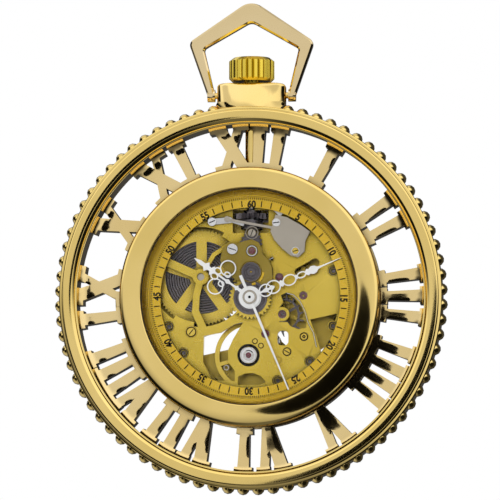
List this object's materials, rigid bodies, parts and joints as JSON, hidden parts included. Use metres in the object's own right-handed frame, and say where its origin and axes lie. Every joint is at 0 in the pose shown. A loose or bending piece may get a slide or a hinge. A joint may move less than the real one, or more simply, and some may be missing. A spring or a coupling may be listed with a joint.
{
  "type": "pocket watch",
  "caption": "Skeleton pocket watch with a beaded rim, open cast Roman numerals around a glazed drum, a hand-wound movement, sweep seconds, a ribbed crown and a hinged pentagon bow.",
  "frame": {"origin": "inner apex of the bow, mid-thickness, where a chain clasp hooks", "axes": "+Z towards 12 o'clock, dial faces -Y, +X to the 3 o'clock side"},
  "size_m": [0.047, 0.0093, 0.0589],
  "materials": {
    "case_gold": "polished pale gold plate",
    "crown_gold": "polished yellow gold plate",
    "crystal": "clear mineral glass",
    "gasket": "matt black seal",
    "holder_brass": "turned brass",
    "dial_gold": "satin gilt with black printing",
    "plate_gold": "gilt, finely brushed",
    "cover_gold": "dark gilt",
    "wheel_gold": "gilt wheels",
    "steel": "fine ground steel",
    "polished_steel": "mirror polished steel",
    "blue_steel": "tempered dark spring steel",
    "ruby": "polished synthetic ruby",
    "hand_silver": "silvered filigree hands"
  },
  "bodies": {
    "case": {"outer_rim": "case_gold", "outer_bezel": "case_gold", "numeral_ring": "case_gold", "mid_case": "case_gold", "front_bezel": "case_gold", "back_cover": "case_gold", "pendant": "case_gold", "pendant_sleeve": "case_gold", "bow_pins": "case_gold", "front_crystal": "crystal", "rear_crystal": "crystal", "crystal_gaskets": "gasket", "movement_holder": "holder_brass", "chapter_ring": "dial_gold", "main_plate": "plate_gold", "barrel_bridge": "plate_gold", "train_bridge": "plate_gold", "balance_cock": "plate_gold", "pallet_bridge": "plate_gold", "motion_cover": "cover_gold", "casing_clamps": "steel", "click_spring": "steel", "regulator": "steel", "hairspring_stud": "steel", "setting_lever_spring": "polished_steel", "dial_side_screws": "polished_steel", "bridge_screws": "polished_steel", "casing_screws": "polished_steel", "shock_settings": "polished_steel", "jewels": "ruby"},
    "bow": {"bow": "case_gold"},
    "winding_pinion": {"winding_pinion": "steel"},
    "crown": {"crown": "crown_gold", "winding_stem": "steel"},
    "clutch": {"sliding_clutch": "steel"},
    "setting_lever": {"setting_lever": "steel"},
    "yoke": {"yoke": "steel"},
    "setting_wheel": {"setting_wheel": "steel"},
    "crown_wheel": {"crown_wheel": "steel"},
    "ratchet": {"ratchet_wheel": "steel", "barrel_arbor": "steel"},
    "click": {"click": "steel"},
    "barrel": {"barrel": "wheel_gold", "barrel_cover": "wheel_gold", "mainspring": "blue_steel"},
    "centre": {"center_wheel": "wheel_gold", "cannon_pinion": "steel", "minute_hand": "hand_silver"},
    "third": {"third_wheel": "wheel_gold", "sweep_driver_wheel": "wheel_gold"},
    "fourth": {"fourth_wheel": "wheel_gold"},
    "escape": {"escape_wheel": "steel"},
    "pallet": {"pallet_fork": "steel"},
    "balance": {"balance_wheel": "wheel_gold", "hairspring": "blue_steel"},
    "seconds": {"seconds_pinion": "steel", "seconds_hand": "hand_silver"},
    "minute_wheel": {"minute_wheel": "wheel_gold"},
    "hour": {"hour_wheel": "wheel_gold", "hour_hand": "hand_silver"}
  },
  "joints": [
    {"name": "bow_hinge", "type": "hinge", "parent": "case", "child": "bow", "pos_m": [0, 0, -0.00885], "axis": [1, 0, 0], "range_deg": [-85, 85]},
    {"name": "winding_turn", "type": "hinge", "parent": "case", "child": "winding_pinion", "pos_m": [0, 0, -0.0235], "axis": [0, 0, 1], "continuous": true},
    {"name": "crown_pull", "type": "slide", "parent": "winding_pinion", "child": "crown", "axis": [0, 0, 1], "range_m": [0, 0.001]},
    {"name": "clutch_slide", "type": "slide", "parent": "winding_pinion", "child": "clutch", "axis": [0, 0, 1], "range_m": [-0.0005, 0]},
    {"name": "setting_lever_swing", "type": "hinge", "parent": "case", "child": "setting_lever", "pos_m": [0.0021, 0, -0.0218], "axis": [0, 1, 0], "range_deg": [0, 24.2]},
    {"name": "yoke_swing", "type": "hinge", "parent": "case", "child": "yoke", "pos_m": [-0.0046, 0, -0.02415], "axis": [0, 1, 0], "range_deg": [0, 7.9]},
    {"name": "crown_wheel_turn", "type": "hinge", "parent": "case", "child": "crown_wheel", "pos_m": [0, 0, -0.02635], "axis": [0, 1, 0], "continuous": true},
    {"name": "ratchet_turn", "type": "hinge", "parent": "case", "child": "ratchet", "pos_m": [-0.00598, 0, -0.0307], "axis": [0, 1, 0], "continuous": true},
    {"name": "click_lift", "type": "hinge", "parent": "case", "child": "click", "pos_m": [-0.00795, 0, -0.0361], "axis": [0, 1, 0], "range_deg": [-8, 0]},
    {"name": "centre_turn", "type": "hinge", "parent": "case", "child": "centre", "pos_m": [0, 0, -0.03325], "axis": [0, 1, 0], "continuous": true},
    {"name": "barrel_turn", "type": "hinge", "parent": "case", "child": "barrel", "pos_m": [-0.00598, 0, -0.0307], "axis": [0, 1, 0], "continuous": true},
    {"name": "third_turn", "type": "hinge", "parent": "case", "child": "third", "pos_m": [0.00342, 0, -0.03079], "axis": [0, 1, 0], "continuous": true},
    {"name": "fourth_turn", "type": "hinge", "parent": "case", "child": "fourth", "pos_m": [0.00628, 0, -0.03298], "axis": [0, 1, 0], "continuous": true},
    {"name": "escape_turn", "type": "hinge", "parent": "case", "child": "escape", "pos_m": [0.00376, 0, -0.03521], "axis": [0, 1, 0], "continuous": true},
    {"name": "seconds_turn", "type": "hinge", "parent": "case", "child": "seconds", "pos_m": [0, 0, -0.03325], "axis": [0, 1, 0], "continuous": true},
    {"name": "minute_wheel_turn", "type": "hinge", "parent": "case", "child": "minute_wheel", "pos_m": [0.00009, 0, -0.03019], "axis": [0, 1, 0], "continuous": true},
    {"name": "hour_turn", "type": "hinge", "parent": "case", "child": "hour", "pos_m": [0, 0, -0.03325], "axis": [0, 1, 0], "continuous": true},
    {"name": "setting_wheel_turn", "type": "hinge", "parent": "case", "child": "setting_wheel", "pos_m": [0.00009, 0, -0.02667], "axis": [0, 1, 0], "continuous": true},
    {"name": "pallet_rock", "type": "hinge", "parent": "case", "child": "pallet", "pos_m": [0.00175, 0, -0.03753], "axis": [0, 1, 0], "range_deg": [-5, 5]},
    {"name": "balance_swing", "type": "hinge", "parent": "case", "child": "balance", "pos_m": [-0.00026, 0, -0.04007], "axis": [0, 1, 0], "range_deg": [-270, 270]}
  ],
  "couplings": [
    {"joint": "barrel_turn", "follows": "centre_turn", "ratio": -0.15},
    {"joint": "third_turn", "follows": "centre_turn", "ratio": -8},
    {"joint": "fourth_turn", "follows": "centre_turn", "ratio": 60},
    {"joint": "escape_turn", "follows": "centre_turn", "ratio": -600},
    {"joint": "seconds_turn", "follows": "centre_turn", "ratio": 60},
    {"joint": "minute_wheel_turn", "follows": "centre_turn", "ratio": -0.33333},
    {"joint": "hour_turn", "follows": "centre_turn", "ratio": 0.083333},
    {"joint": "setting_wheel_turn", "follows": "centre_turn", "ratio": 0.625},
    {"joint": "crown_wheel_turn", "follows": "winding_turn", "ratio": -0.74074},
    {"joint": "ratchet_turn", "follows": "winding_turn", "ratio": 0.4},
    {"joint": "clutch_slide", "follows": "crown_pull", "ratio": -0.5},
    {"joint": "setting_lever_swing", "follows": "crown_pull", "rad_per_m": 422},
    {"joint": "yoke_swing", "follows": "crown_pull", "rad_per_m": 137}
  ]
}
